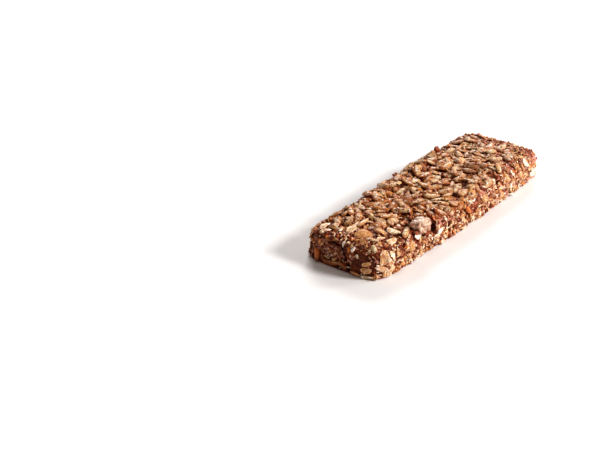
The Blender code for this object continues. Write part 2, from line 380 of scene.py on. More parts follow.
def spread(count, weight, random, tries, taken=()):
    """Numbers of faces drawn by weight, each as far as can be had from those already taken."""
    summed = np.cumsum(weight)
    places = np.full((len(taken) + count, 3), np.inf)
    places[: len(taken)] = np.array(taken).reshape(-1, 3)
    chosen = []
    for number in range(len(taken), len(places)):
        tried = np.searchsorted(summed, random.random(tries) * summed[-1])
        apart = np.linalg.norm(FACE_CENTRE[tried][:, None] - places[None, :number], axis=2)
        best = tried[apart.min(axis=1).argmax()] if number else tried[0]
        places[number] = FACE_CENTRE[best]
        chosen.append(best)
    return chosen


def seen_at(across, down):
    """The point of the slab seen at a pixel of the picture, and the way the smooth slab faces there."""
    start, direction = line_of_sight(across, down)
    start = start - MIDDLE
    point, _, face, _ = surface.ray_cast(start, direction)
    if point is None:
        point, _, face, _ = surface.find_nearest(start - direction * start.z / direction.z)
    return point, Vector(FACE_OUT[face])


print("the slab has", len(FACE_CENTRE), "places for seeds")

# %% [markdown]
# ## Piles of copies
#
# A shape is modelled once, at unit size, and read into arrays. A `Pile` then collects its copies, each
# with its own size, place and turn, and joins them into one mesh. Four things are kept for the finish:
# `tone`, a number for each copy; `grain`, the point's place on the unit shape, moved by a random step
# for each copy; `rim`, 0 in the middle of the shape and about 1 at its outline; and the last, 1 where a
# point is in the mass, which stains it, and deep in a gap of the top, as painted shade, and 0 well
# clear.

# %% Shapes and piles
class Shape:
    """A modelled piece read into arrays, and its object removed."""

    def __init__(self, piece):
        self.points = points_of(piece)
        self.rim = 2 * np.linalg.norm(self.points[:, :2], axis=1)
        self.faces = [tuple(face.vertices) for face in piece.data.polygons]
        mesh = piece.data
        bpy.data.objects.remove(piece)
        bpy.data.meshes.remove(mesh)


# The second pair are the depths below the kernels' top over which painted shade in a gap grows.
CLEAR_OF_MASS, GAP_SHADE = 0.9 * MM, (0.3 * MM, 1.6 * MM)
FLOOR_GAP = 0.05 * MM
STEP = 9  # the largest random step of `grain`, in unit shapes


class Pile:
    """Copies of a few shapes, joined into one mesh."""

    def __init__(self, name, shapes, seed):
        self.name, self.shapes = name, shapes
        self.random = np.random.default_rng(seed)
        self.points, self.faces, self.places, self.count = [], [], [], 0
        self.grain, self.rim, self.tone = [], [], []

    def add(self, size, matrix, tone=None, bend=0):
        """One more copy. Bend lifts both ends by that share of the length."""
        shape = self.shapes[self.random.integers(len(self.shapes))]
        unit = shape.points.copy()
        unit[:, 2] += bend * (4 * unit[:, 0] ** 2 - 0.5) * size[0] / size[2]
        points = unit * np.array(size) @ np.array(matrix.to_3x3()).T + np.array(matrix.translation)
        points[:, 2] += max(0, FLOOR_GAP - points[:, 2].min())
        self.faces += [tuple(corner + self.count for corner in face) for face in shape.faces]
        self.points.append(points)
        self.grain.append(shape.points + self.random.uniform(0, STEP, 3))
        self.rim.append(shape.rim)
        self.tone.append(np.full(len(points), self.random.random() if tone is None else tone))
        self.places.append(np.array(matrix.translation))
        self.count += len(points)

    def joined(self, angle=180):
        """The object, with its attributes. Edges sharper than that angle, in degrees, stay sharp."""
        points = np.concatenate(self.points)
        mesh = bpy.data.meshes.new(self.name)
        mesh.from_pydata(points.tolist(), [], self.faces)
        mesh.shade_smooth()
        under_map = heights_map[cells_at(*points[:, :2].T)] - points[:, 2]
        # Painted shade: points deep in a gap below the kernels' top are marked to be darkened.
        gap_shade = ease(under_map, *GAP_SHADE) * (points[:, 2] > LOWEST_TOP)
        in_mass = [1 - min(1, self.clearance(Vector(point)) / CLEAR_OF_MASS) for point in points]
        keep(mesh, "tone", np.concatenate(self.tone))
        keep(mesh, "rim", np.concatenate(self.rim))
        keep(mesh, "sunk", np.maximum(in_mass, gap_shade))
        grain = mesh.attributes.new("grain", "FLOAT_VECTOR", "POINT")
        grain.data.foreach_set("vector", np.concatenate(self.grain).ravel())
        piece = bpy.data.objects.new(self.name, mesh)
        bpy.context.scene.collection.objects.link(piece)
        if angle < 180:
            bpy.context.view_layer.objects.active = piece
            piece.select_set(True)
            bpy.ops.object.shade_smooth_by_angle(angle=math.radians(angle))
            piece.select_set(False)
        print(f"{self.name}: {len(self.places)} copies, {len(self.faces)} faces")
        return piece

    @staticmethod
    def clearance(point):
        """How far a point stands out of the mass, in metres, and 0 inside it."""
        nearest, _, face, _ = surface.find_nearest(point)
        return max(0, (point - nearest).dot(Vector(FACE_OUT[face])))


def laid(centre, normal, heading, tilt):
    """The matrix that lays a shape on a surface that faces along normal, turned and then tipped."""
    lie = Vector(normal).to_track_quat("Z", "Y").to_matrix().to_4x4()
    tip = Matrix.Rotation(tilt[0], 4, "Y") @ Matrix.Rotation(tilt[1], 4, "X")
    return Matrix.Translation(centre) @ lie @ Matrix.Rotation(heading, 4, "Z") @ tip


def laid_along(start, end, normal):
    """The matrix that lays a shape with its length from one point to the other."""
    length = (end - start).normalized()
    across = normal.cross(length).normalized()
    turn = Matrix((length, across, length.cross(across))).transposed()
    return Matrix.Translation((start + end) / 2) @ turn.to_4x4()


# %% [markdown]
# ## Sunflower kernels
#
# A kernel is a flat, pointed teardrop with thin edges. It starts as a sphere on its side, is thinned
# towards both long edges, tapered towards one end and bent a little. Many kernels in a pressed bar are
# broken, so two of the shapes have an end pushed flat. Clouds dent them, because a toasted kernel is
# never a perfect drop.

# %% Kernel shapes
KERNEL = np.array((9.0, 4.3, 1.8)) * MM
EDGE_THINNED, KERNEL_DENTS = 0.6, 0.14
# How strongly each shape tapers, how far it bends, and where it is broken.
KERNEL_FORMS = (
    (0.55, -0.35, 1), (0.65, -0.1, 1), (0.75, 0.1, 1), (0.85, 0.3, 1),
    (0.6, 0.15, 0.3), (0.5, -0.2, 0.25),
)


def kernel_shape(number, taper, bend, broken_at):
    """Broken at says where along the unit kernel its end is pushed flat; 1 leaves it whole."""
    kernel = lying_sphere("kernel", 10, 7)
    points = points_of(kernel)
    points[:, 2] *= 1 - EDGE_THINNED * (2 * points[:, 1]) ** 2
    put_points(kernel, points)
    select_in(kernel, "VERT", lambda vertex: vertex.co.x > broken_at)
    bpy.ops.transform.resize(value=(0, 1, 1), center_override=(broken_at, 0, 0))
    bpy.ops.object.mode_set(mode="OBJECT")
    apply(kernel, "SIMPLE_DEFORM", deform_method="TAPER", deform_axis="X", factor=-taper)
    apply(kernel, "SIMPLE_DEFORM", deform_method="BEND", deform_axis="Z", angle=bend)
    dent(kernel, 0.35 + 0.07 * number, KERNEL_DENTS)
    return Shape(kernel)


KERNEL_SHAPES = [kernel_shape(number, *form) for number, form in enumerate(KERNEL_FORMS)]
print(len(KERNEL_SHAPES), "kernel shapes of", len(KERNEL_SHAPES[0].faces), "faces")

# %% [markdown]
# ## Oat flakes
#
# A rolled oat is a thin oval with a crease down its middle and a ragged rim. It is modelled from a
# cylinder: both caps are inset, the outline is made blunt and ragged, the middle is pinched, and clouds
# warp it. Its unit shape is as thick as it is long, so the strengths along Z are large.

# %% Flake shapes
FLAKE = np.array((5.6, 4.4, 0.75)) * MM
RIM_THINNED, CREASE_WIDTH, CREASE_DEPTH, CURL = 0.55, 0.12, 0.2, 0.25


def flake_shape(number):
    bpy.ops.mesh.primitive_cylinder_add(vertices=12, radius=0.5, depth=1)
    flake = named("flake")
    select_in(flake, "FACE", lambda face: abs(face.normal.z) > 0.9)
    bpy.ops.mesh.inset(thickness=0.16, use_individual=True)
    bpy.ops.mesh.inset(thickness=0.2, use_individual=True)
    bpy.ops.object.mode_set(mode="OBJECT")
    points = points_of(flake)
    angle = np.arctan2(points[:, 1], points[:, 0])
    outward = np.linalg.norm(points[:, :2], axis=1) * 2
    blunt = (np.abs(np.cos(angle)) ** 3 + np.abs(np.sin(angle)) ** 3) ** (-1 / 3) - 1
    ragged = 0.08 * np.sin(3 * angle + number) + 0.05 * np.sin(5 * angle + 2 * number)
    points[:, :2] *= 1 + ((blunt + ragged) * outward**2)[:, None]
    points[:, 2] *= 1 - RIM_THINNED * outward**4
    points[:, 2] -= CREASE_DEPTH * np.exp(-((points[:, 1] / CREASE_WIDTH) ** 2)) * np.sign(points[:, 2])
    points[:, 2] += CURL * outward**2 * np.cos(2 * angle + number)
    put_points(flake, points)
    for direction, strength in (("X", 0.2), ("Z", 1.4)):
        dent(flake, 0.5 + 0.1 * number, strength, direction)
    return Shape(flake)


FLAKE_SHAPES = [flake_shape(number) for number in range(4)]
print(len(FLAKE_SHAPES), "flake shapes of", len(FLAKE_SHAPES[0].faces), "faces")

# %% [markdown]
# ## Oat bits, crumbs and small seeds
#
# Between the flakes the sides are full of small things: broken oats, crumbs of the mass itself, golden
# linseeds and sesame. Each repeated shape has only a few dozen faces, because there are thousands.

# %% Small shapes
BIT, CRUMB = np.array((3.0, 2.1, 0.8)) * MM, np.array((2.5, 1.9, 1.2)) * MM
LINSEED, SESAME = np.array((4.7, 2.4, 1.2)) * MM, np.array((3.2, 1.9, 0.9)) * MM
BIT_THINNED, BIT_WAVE = 0.6, 0.7


def bit_shape(number):
    bpy.ops.mesh.primitive_cylinder_add(vertices=8, radius=0.5, depth=1)
    bit = named("bit")
    select_in(bit, "FACE", lambda face: abs(face.normal.z) > 0.9)
    bpy.ops.mesh.inset(thickness=0.16, use_individual=True)
    bpy.ops.object.mode_set(mode="OBJECT")
    points = points_of(bit)
    points[:, 2] *= 1 - BIT_THINNED * (2 * np.linalg.norm(points[:, :2], axis=1)) ** 3
    points[:, 2] += BIT_WAVE * np.cos(4 * points[:, 0] + 2 * number)
    put_points(bit, points)
    for direction, strength in (("X", 0.45), ("Y", 0.45), ("Z", 0.8)):
        dent(bit, 0.3 + 0.1 * number, strength, direction)
    return Shape(bit)


def crumb_shape(number):
    bpy.ops.mesh.primitive_ico_sphere_add(subdivisions=2, radius=0.5)
    crumb = named("crumb")
    dent(crumb, 0.3 + 0.08 * number, 0.8, cloud_depth=1)
    apply(crumb, "DECIMATE", ratio=0.5)
    bpy.ops.object.origin_set(type="ORIGIN_GEOMETRY", center="BOUNDS")
    return Shape(crumb)


def seed_shape(taper):
    seed = lying_sphere("seed", 8, 6)
    apply(seed, "SIMPLE_DEFORM", deform_method="TAPER", deform_axis="X", factor=-taper)
    return Shape(seed)


BIT_SHAPES = [bit_shape(number) for number in range(4)]
CRUMB_SHAPES = [crumb_shape(number) for number in range(4)]
LINSEED_SHAPES, SESAME_SHAPES = [seed_shape(0.55)], [seed_shape(0.75)]
for kind, shapes in (("bit", BIT_SHAPES), ("crumb", CRUMB_SHAPES), ("seed", LINSEED_SHAPES)):
    print(f"a {kind} has {len(shapes[-1].faces)} faces")

# %% [markdown]
# ## Almonds and dates
#
# Chopped almond is a block with its corners cut off. The one large date piece breaks the top edge of
# the long side: a lump whose skin has broad, finer and finest wrinkles.

# %% Almond and date shapes
ALMOND = np.array((4.4, 3.2, 2.4)) * MM
WRINKLES = ((0.5, 0.42), (0.16, 0.17), (0.06, 0.05))  # the size and the strength of each


def almond_shape(number):
    bpy.ops.mesh.primitive_cube_add(size=1)
    almond = named("almond")
    select_in(almond, "VERT", lambda vertex: True)
    bpy.ops.mesh.bevel(offset=0.2, affect="VERTICES")
    bpy.ops.object.mode_set(mode="OBJECT")
    dent(almond, 0.5 + 0.1 * number, 0.4)
    return Shape(almond)


def date_shape():
    bpy.ops.mesh.primitive_ico_sphere_add(subdivisions=4, radius=0.5)
    date = named("date")
    for size, strength in WRINKLES:
        dent(date, size, strength)
    return Shape(date)


ALMOND_SHAPES = [almond_shape(number) for number in range(3)]
DATE_SHAPES = [date_shape()]
print("an almond piece has", len(ALMOND_SHAPES[0].faces), "faces")
print("the date piece has", len(DATE_SHAPES[0].faces), "faces")

# %% [markdown]
# ## Pieces that the picture shows
#
# Some pieces give this bar its face. Each is laid between the two pixels where its ends show, by
# following both lines of sight to the slab; its width and thickness are real sizes. They go in first,
# and what is strewn later keeps clear of them.

# %% Placing by line of sight
kernels = Pile("sunflower_kernels", KERNEL_SHAPES, 21)
flakes = Pile("oat_flakes", FLAKE_SHAPES, 4)
bits = Pile("oat_bits", BIT_SHAPES, 5)
crumbs = Pile("rye_crumbs", CRUMB_SHAPES, 6)
linseeds = Pile("golden_linseeds", LINSEED_SHAPES, 7)
sesame = Pile("sesame_seeds", SESAME_SHAPES, 8)
almonds = Pile("almond_pieces", ALMOND_SHAPES, 9)
dates = Pile("date_pieces", DATE_SHAPES, 10)
PLACED = []
MIDDLE_PART = (0.15, 0.85)  # the stretch of a placed piece that distances to it are taken from


def lay_between(pile, ends, width, thickness, raised, tone, roll=0.0):
    """A copy whose length runs between two pixels of the picture. All sizes are in millimetres."""
    (start, out_a), (end, out_b) = seen_at(*ends[:2]), seen_at(*ends[2:])
    out = (out_a + out_b).normalized()
    size = np.array(((end - start).length, width * MM, thickness * MM))
    matrix = Matrix.Translation(out * raised * MM) @ laid_along(start, end, out)
    pile.add(size, matrix @ Matrix.Rotation(roll, 4, "X"), tone)
    PLACED.append((np.array(start), np.array(end), width * MM / 2))


def away_from_placed(points):
    """How far each point is from the nearest placed piece, in metres."""
    nearest = np.full(len(points), np.inf)
    for start, end, half_width in PLACED:
        run = end - start
        share = np.clip((points - start) @ run / (run @ run), *MIDDLE_PART)[:, None]
        gap = np.linalg.norm(points - start - share * run, axis=1) - half_width
        nearest = np.minimum(nearest, gap)
    return nearest


# %% Placed pieces
# The kind, the pixels of its two ends, its width, thickness and height above the mass, its tone, and
# for one flake how far it is rolled on its side.
BY_SIGHT = (
    (dates, (411, 228.5, 429, 223.5), 9.6, 8.0, 0.6, 0.6),
    # round the near end's top edge
    (flakes, (347, 234, 361, 223), 3.8, 1.2, 0.7, 0.6),
    (kernels, (357, 229, 369, 220), 3.0, 1.8, 1.2, 0.8),
    (flakes, (355, 237, 373, 234), 6.4, 1.0, 0.5, 0.25, 0.3),
    (flakes, (375, 230, 386, 236), 3.6, 1.2, 0.8, 0.35),
    (flakes, (387, 230, 399, 235), 4.4, 1.2, 0.7, 0.65),
    (flakes, (378, 241, 384, 238), 3.0, 1.0, 0.6, 0.6),
    (flakes, (321, 229, 329, 223), 3.4, 1.0, 0.4, 0.75),
    (flakes, (323, 231, 331, 231), 2.0, 1.0, 0.6, 0.7),
    # the near right corner
    (flakes, (384, 251, 383, 266), 5.0, 0.8, 1.0, 0.55),
    (kernels, (372, 246, 377, 256), 3.2, 1.8, 1.1, 1.0),
    (flakes, (390, 252, 395, 260), 3.0, 1.0, 0.6, 0.7),
    (flakes, (375, 266, 388, 271), 3.2, 1.0, 0.6, 0.65),
    (flakes, (388, 272, 394, 265), 3.0, 1.0, 0.6, 0.6),
    (flakes, (377, 276, 392, 273), 2.4, 1.0, 0.6, 0.7),
    # along the near end's foot
    (flakes, (362, 265, 371, 263), 2.2, 1.0, 0.5, 0.45),
    (flakes, (361, 270, 372, 271), 3.0, 0.9, 0.6, 0.4),
    (flakes, (361, 276, 373, 278), 1.8, 1.2, 0.4, 0.7),
    (flakes, (351, 271, 360, 275), 1.6, 1.2, 0.4, 0.3),
    (flakes, (322, 260, 342, 264), 1.8, 1.8, 0.4, 0.4),
    (almonds, (317.5, 249, 317.5, 261.5), 2.4, 2.2, 0.4, 0.0),
    (almonds, (340.5, 264, 347, 269), 2.4, 1.8, 0.4, 0.1),
    (bits, (310, 257, 315, 253), 1.6, 1.0, 0.3, 0.6),
    # seeds in the near end
    (sesame, (344.5, 241.5, 343.2, 248), 1.9, 1.0, 0.4, 1.0),
    (sesame, (351, 252, 356, 247.5), 2.0, 1.0, 0.4, 1.0),
    (sesame, (357, 254, 358, 259), 1.8, 0.9, 0.4, 0.1),
    (sesame, (338.5, 232.5, 343, 229.5), 1.6, 0.9, 0.6, 0.5),
    (linseeds, (350, 246.5, 348.5, 253), 1.8, 1.0, 0.4, 0.6),
    (linseeds, (326, 236.5, 332, 241.5), 2.4, 1.4, 0.5, 1.0),
    (linseeds, (319, 243.5, 322, 238.5), 1.9, 1.2, 0.4, 0.8),
    (linseeds, (351, 242, 353.5, 238.5), 1.6, 1.0, 0.4, 0.4),
    # round the date piece
    (kernels, (403, 240, 409, 226), 3.4, 1.8, 1.2, 1.0),
    (flakes, (387, 244, 396, 240), 3.4, 1.0, 0.5, 0.6),
    (flakes, (414, 239, 420, 233), 3.0, 1.2, 0.9, 0.9),
    (flakes, (436, 233, 442, 227), 3.0, 1.2, 0.8, 1.0),
    (kernels, (423, 199, 440, 198), 4.0, 2.2, 1.4, 0.95),
    (crumbs, (409, 222, 412, 218), 2.4, 2.0, 1.3, 0.5),
    (crumbs, (412, 233, 417, 235), 2.6, 2.0, 1.4, 0.6),
    (crumbs, (422, 234, 427, 232), 2.2, 1.8, 1.6, 0.4),
    (crumbs, (427, 216, 431, 219), 2.4, 2.0, 1.2, 0.5),
    # towards the far end
    (linseeds, (465, 207, 470, 213), 2.8, 1.8, 0.6, 0.4),
    (flakes, (528, 176, 535, 169), 3.6, 1.2, 0.5, 0.9),
    (kernels, (489, 163, 506, 160), 3.8, 2.0, 1.4, 0.95),
    (kernels, (486, 155, 499, 152), 3.4, 2.0, 1.1, 0.9),
    (kernels, (461, 173, 476, 175), 3.4, 3.0, 1.6, 0.05),
    (crumbs, (435, 154, 440, 151), 3.2, 3.8, 1.4, 0.3),
)
for placed in BY_SIGHT:
    lay_between(*placed)
print(len(PLACED), "pieces placed by sight")

# %% [markdown]
# ## Where kernels lie
#
# Kernels were strewn before the slab was cut, and not to its very rim: the far end, with its hump, is
# bare crumb, and towards the near end they lie thinner. `kernel_share` says how much of the kernels'
# full cover a place of the top has.

# %% Where kernels lie
FAR_RIM, RIM_SKEW, CORNER_FROM, CORNER_SKEW = (57 * MM, 63 * MM), 0.3, 12 * MM, 1.9
THINNER_ALONG, THINNER_ACROSS, THINNER = (38 * MM, 60 * MM), (-22 * MM, 5 * MM), 0.45
NEAR_RIM = (61 * MM, 68 * MM)


def kernel_share(x, y):
    past_end = ease(x - RIM_SKEW * y + CORNER_SKEW * np.maximum(0, -y - CORNER_FROM), *FAR_RIM)
    thinner = ease(-x, *THINNER_ALONG) * ease(y, *THINNER_ACROSS)
    near_rim = ease(-x, *NEAR_RIM)
    return (1 - past_end) * (1 - THINNER * thinner) * (1 - near_rim) * (1 - on_hump(x, y))


print("full cover in the middle:", kernel_share(0, 0), "and near the near end:", kernel_share(-0.06, 0))

# %% [markdown]
# ## Patches of bare paste
#
# In a few round patches along an edge of the top the paste shows bare. Each is found by its pixel.

# %% Bare patches
# A pixel of the picture, and a radius in millimetres.
BARE_PATCHES = (
    (531, 156, 3.4), (509, 167, 2.4), (494, 180, 3.0), (483, 191, 2.2), (476, 203, 2.6), (442, 221, 2.0),
    (426, 239, 2.0),
)
PATCHES = [(np.array(seen_at(across, down)[0]), radius * MM) for across, down, radius in BARE_PATCHES]


def outside_patches(points):
    """How far each point is from the rim of the nearest patch, in metres, and below 0 inside it."""
    gaps = [np.linalg.norm(points - middle, axis=1) - radius for middle, radius in PATCHES]
    return np.min(gaps, axis=0)


keep(mass.data, "bare_patch", 1 - ease(outside_patches(points_of(mass)), -0.5 * MM, 1 * MM))
patch_gap = outside_patches(FACE_CENTRE)
print("faces in bare patches:", (patch_gap < 0).sum())

# %% [markdown]
# ## Which part of the bar holds what
#
# The sides are torn crumb, full of flakes and seeds. In the near end, the block to the right of the fold
# is smooth paste with few seeds, and the one to its left is crumbly. Each of these regions is a weight
# from 0 to 1 on the slab's faces, and what is pressed in is drawn by it. `FREE` keeps everything off the
# placed pieces, the hollow and the fold. `CLEAR` keeps large pieces further off the placed ones and off
# the bare patches, and `NOT_BARE` keeps small ones out of those patches.

# %% Weights
FOLD_CLEAR, IN_HOLLOW = 1.9 * MM, 0.02

apart = away_from_placed(FACE_CENTRE)
CLEAR = ease(apart, 1.2 * MM, 2.4 * MM) * ease(patch_gap, 1 * MM, 2 * MM)
NOT_BARE = ease(patch_gap, 0, 0.8 * MM)
FREE = ease(apart, 0, 0.8 * MM) * (bell(FACE_CENTRE, HOLLOW, HOLLOW_SIZE) < IN_HOLLOW)
FREE *= (FACE_OUT[:, 0] > -0.5) | (beside_fold(FACE_CENTRE)[1] > FOLD_CLEAR)
ON_TOP = ease(FACE_OUT[:, 2], 0.7, 0.8)
ON_SIDE = (1 - ON_TOP) * ease(FACE_CENTRE[:, 2], 1 * MM, 1.6 * MM)
NEAR_END = ease(-FACE_OUT[:, 0], 0.5, 0.8) * (1 - ON_TOP)
FAR_END = ease(FACE_OUT[:, 0], 0.5, 0.8) * (1 - ON_TOP)
RIGHT_BLOCK = NEAR_END * (1 - ease(left_of_fold(FACE_CENTRE), 0, 1 * MM))
AT_FOOT = FREE * ON_SIDE * (1 - 0.85 * NEAR_END) * (FACE_CENTRE[:, 2] < 2.8 * MM)
TORN_SIDE = FREE * ON_SIDE * NOT_BARE * (1 - 0.97 * NEAR_END) * (1 - RIGHT_BLOCK) * (1 - 0.7 * FAR_END)
CRUMBLY = FREE * ON_SIDE * (0.4 + 0.6 * NOT_BARE) * (1 - NEAR_END)
LEFT_BLOCK = FREE * NEAR_END * (1 - 0.95 * RIGHT_BLOCK)
print("square centimetres of side:", round(ON_SIDE.sum() * (VOXEL / MM) ** 2 / 100, 1))

# %% [markdown]
# ## Laying kernels like shingles
#
# The top is kept as a map of heights, a grid seen from above. Each kernel tries a few places and
# headings and takes the barest. It then settles on the map: it leans as the heights under it lean, is
# raised until little pokes through it, and is pressed into the paste. Last, it is added to the map, so
# that the next one lies on it. This is how real kernels overlap.

# %% The map of heights
CELL, MARGIN_X, MARGIN_Y = 0.4 * MM, 3 * MM, 6 * MM
KEPT_CLEAR = 0.4 * MM
MAP_X = np.arange(-LENGTH / 2 - MARGIN_X, LENGTH / 2 + MARGIN_X, CELL)
MAP_Y = np.arange(-WIDTH / 2 - MARGIN_Y, WIDTH / 2 + MARGIN_Y, CELL)


def straight_down(tree, x, y):
    """Where a ray from above meets a surface, and the way it faces there."""
    return tree.ray_cast(Vector((x, y, 2 * HEIGHT)), Vector((0, 0, -1)))[:2]


def height_under(x, y):
    point = straight_down(surface, x, y)[0]
    return point.z if point else 0


heights_map = np.array([[height_under(x, y) for y in MAP_Y] for x in MAP_X])
covered = np.zeros_like(heights_map)
grid = np.stack((*np.meshgrid(MAP_X, MAP_Y, indexing="ij"), heights_map), axis=2)
cells = grid.reshape(-1, 3)
reserved = np.minimum(away_from_placed(cells), outside_patches(cells)) < KEPT_CLEAR
reserved = reserved.reshape(heights_map.shape)
print("map of", heights_map.shape, "cells")


def cells_at(x, y):
    """The map's cell numbers at these places."""
    row = np.clip(((x - MAP_X[0]) / CELL).round().astype(int), 0, len(MAP_X) - 1)
    column = np.clip(((y - MAP_Y[0]) / CELL).round().astype(int), 0, len(MAP_Y) - 1)
    return row, column


# %% Dropping kernels
KERNEL_COUNT, KERNEL_TRIES = 300, 18
KERNEL_GROWN, KERNEL_UNEVEN = (0.76, 1.12), (0.9, 1.1)
RESTS_ON = 85  # percent of the ground under a kernel that it clears, before it is pressed in
PRESSED_IN = 1.0 * MM
STEEPEST, WOBBLE, BENT = 0.4, (0.08, 0.2), 0.015
LOWEST_TOP = 0.66 * HEIGHT
OVERHANG_COST, RESERVED_COST = 5, 4

reach = np.array([(a, b) for a in np.linspace(-0.42, 0.42, 7) for b in (-0.3, 0, 0.3)])


def footprint(x, y, heading, size):
    """Places under a kernel, on the floor's plane."""
    a, b = reach.T * size[:2, None]
    cos, sin = math.cos(heading), math.sin(heading)
    return x + a * cos - b * sin, y + a * sin + b * cos


def settle(x, y, heading, size):
    """Adds a kernel to the map, and gives its height and how it leans along and across itself."""
    a, b = reach.T * size[:2, None]
    under = heights_map[cells_at(*footprint(x, y, heading, size))]
    fit = np.linalg.lstsq(np.column_stack((a, b, np.ones_like(a))), under, rcond=None)[0]
    lean_a, lean_b = np.clip(fit[:2], -STEEPEST, STEEPEST)
    bottom = np.percentile(under - lean_a * a - lean_b * b, RESTS_ON)
    middle = bottom + size[2] / 2 - PRESSED_IN
    rows, columns = cells_at(
        *np.meshgrid(*(np.arange(at - size[0] / 2, at + size[0] / 2, CELL) for at in (x, y)))
    )
    dx, dy = MAP_X[rows] - x, MAP_Y[columns] - y
    cos, sin = math.cos(heading), math.sin(heading)
    a, b = dx * cos + dy * sin, dy * cos - dx * sin
    inside = 1 - (2 * a / size[0]) ** 2 - (2 * b / size[1]) ** 2
    top = middle + lean_a * a + lean_b * b + size[2] / 2 * np.sqrt(np.maximum(0, inside))
    rows, columns, top = rows[inside > 0], columns[inside > 0], top[inside > 0]
    heights_map[rows, columns] = np.maximum(heights_map[rows, columns], top)
    covered[rows, columns] += 1
    return middle, lean_a, lean_b


def drop_kernel(x, y, heading, size):
    middle, lean_a, lean_b = settle(x, y, heading, size)
    pitch, roll = kernels.random.normal(0, WOBBLE)
    turn = Matrix.Rotation(heading, 4, "Z")
    tip = Matrix.Rotation(pitch - math.atan(lean_a), 4, "Y")
    tip = tip @ Matrix.Rotation(roll + math.atan(lean_b), 4, "X")
    place = Matrix.Translation((x, y, middle)) @ turn @ tip
    kernels.add(size, place, bend=kernels.random.normal(0, BENT))


def barest(random):
    """A place and a heading for a kernel where the map is least covered."""
    best = None
    for _ in range(KERNEL_TRIES):
        x, y = random.uniform(MAP_X[0], MAP_X[-1]), random.uniform(MAP_Y[0], MAP_Y[-1])
        if heights_map[cells_at(np.array(x), np.array(y))] < LOWEST_TOP:
            continue
        if random.random() > kernel_share(x, y):
            continue
        heading = random.uniform(0, 2 * math.pi)
        rows, columns = cells_at(*footprint(x, y, heading, KERNEL))
        outside = heights_map[rows, columns] < LOWEST_TOP / 2
        load = covered[rows, columns].mean() + OVERHANG_COST * outside.mean()
        load += RESERVED_COST * reserved[rows, columns].mean()
        if best is None or load < best[0]:
            best = (load, x, y, heading)
    return best[1:]


for _ in range(KERNEL_COUNT):
    size = KERNEL * kernels.random.uniform(*KERNEL_GROWN) * kernels.random.uniform(*KERNEL_UNEVEN, 3)
    drop_kernel(*barest(kernels.random), size)
on_top = heights_map > LOWEST_TOP
print(f"kernels cover {(covered[on_top] > 0).mean():.0%} of the top")

# %% [markdown]
# ## Paste between the kernels
#
# The press squeezes sticky paste up between the kernels. So the top of the mass is raised to a little
# below the kernels' mean height, which is the map with its steps evened out, and its own relief stays on
# it. `BARE_TOP` is then where the paste shows between kernels, or where there are none.

# %% Paste squeezed up
SQUEEZED_BELOW, EVENED = 1.35 * MM, 14
SHOWS_WITHIN = 0.3 * MM

level = heights_map.copy()
for _ in range(EVENED):
    for axis in (0, 1):
        level = (np.roll(level, 1, axis) + level + np.roll(level, -1, axis)) / 3
raised = level[cells_at(*smooth_points[:, :2].T)] - SQUEEZED_BELOW - smooth_points[:, 2]
points = points_of(mass)
points[:, 2] += np.maximum(0, raised) * ease(smooth_normals[:, 2], 0.5, 0.9)
put_points(mass, points)

FACE_CENTRE = read(mass.data.polygons, "center")
surface = tree_of(mass)
from_above = FACE_CENTRE[:, :2].T
shows = heights_map[cells_at(*from_above)] < FACE_CENTRE[:, 2] + SHOWS_WITHIN
BARE_TOP = FREE * ON_TOP * shows * (0.3 + 0.7 * NOT_BARE) * (1 - 0.93 * on_hump(*from_above))
print(f"paste shows in {shows[ON_TOP > 0.5].mean():.0%} of the top")

# %% [markdown]
# ## Pressed into the sides and the paste
#
# `press_in` draws places by weight, far apart from one another, and presses a copy into each. It lies
# along the smooth slab, turned at random and tipped. Its middle is at a depth of its own, below 0 where
# it stands out. Small copies are drawn more often than large ones. Flakes come first, with a row of them
# that lies flat along the foot and stands out of it.

# %% Flakes, and a few kernels in the sides
UNEVEN, MORE_SMALL = (0.85, 1.15), 1.5
FOOT_FLAKES, FOOT_INWARD, FOOT_TILT, FOOT_GROWN = 50, (0.9, 2.2), 0.22, (0.8, 1.1)


def press_in(
    pile, count, allowed, size, depth, tips, tries=6, grow=(0.75, 1.15), bends=0.0, tones=(0, 1)
):
    """Presses copies into the allowed faces. Depth is in millimetres, and tips is how far they lean."""
    for face in spread(count, allowed, pile.random, tries, pile.places):
        out = Vector(FACE_OUT[face])
        centre = Vector(FACE_CENTRE[face]) - out * pile.random.uniform(*np.array(depth) * MM)
        tilt = pile.random.normal(0, tips, 2)
        scale = grow[0] + (grow[1] - grow[0]) * pile.random.random() ** MORE_SMALL
        scale = scale * pile.random.uniform(*UNEVEN, 3)
        matrix = laid(centre, out, pile.random.uniform(0, 2 * math.pi), tilt)
        pile.add(size * scale, matrix, pile.random.uniform(*tones), pile.random.normal(0, bends))


SIDE, FOOT, GAPS = TORN_SIDE * CLEAR, AT_FOOT * CLEAR, BARE_TOP * CLEAR
press_in(flakes, 190, SIDE, FLAKE, (0, 0.6), 0.35, grow=(0.55, 1.0), bends=0.05, tones=(0.2, 1))
press_in(flakes, 70, FOOT, FLAKE, (0.2, 0.9), 0.45, grow=(0.55, 0.85), tones=(0.2, 0.8))
press_in(flakes, 45, GAPS, FLAKE, (-0.2, 0.6), 0.3, bends=0.05, tones=(0, 0.6))
for face in spread(FOOT_FLAKES, AT_FOOT, flakes.random, 5):
    inward = Vector(FACE_OUT[face]) * flakes.random.uniform(*FOOT_INWARD) * MM
    tilt = flakes.random.normal(0, FOOT_TILT, 2)
    size = FLAKE * flakes.random.uniform(*FOOT_GROWN)
    heading = flakes.random.uniform(0, 7)
    flakes.add(size, laid(Vector(FACE_CENTRE[face]) - inward, (0, 0, 1), heading, tilt))
press_in(kernels, 16, SIDE, KERNEL, (0.2, 0.8), 0.4, grow=(0.5, 0.8), tones=(0.3, 1))
print(len(flakes.places), "flakes and", len(kernels.places), "kernels")

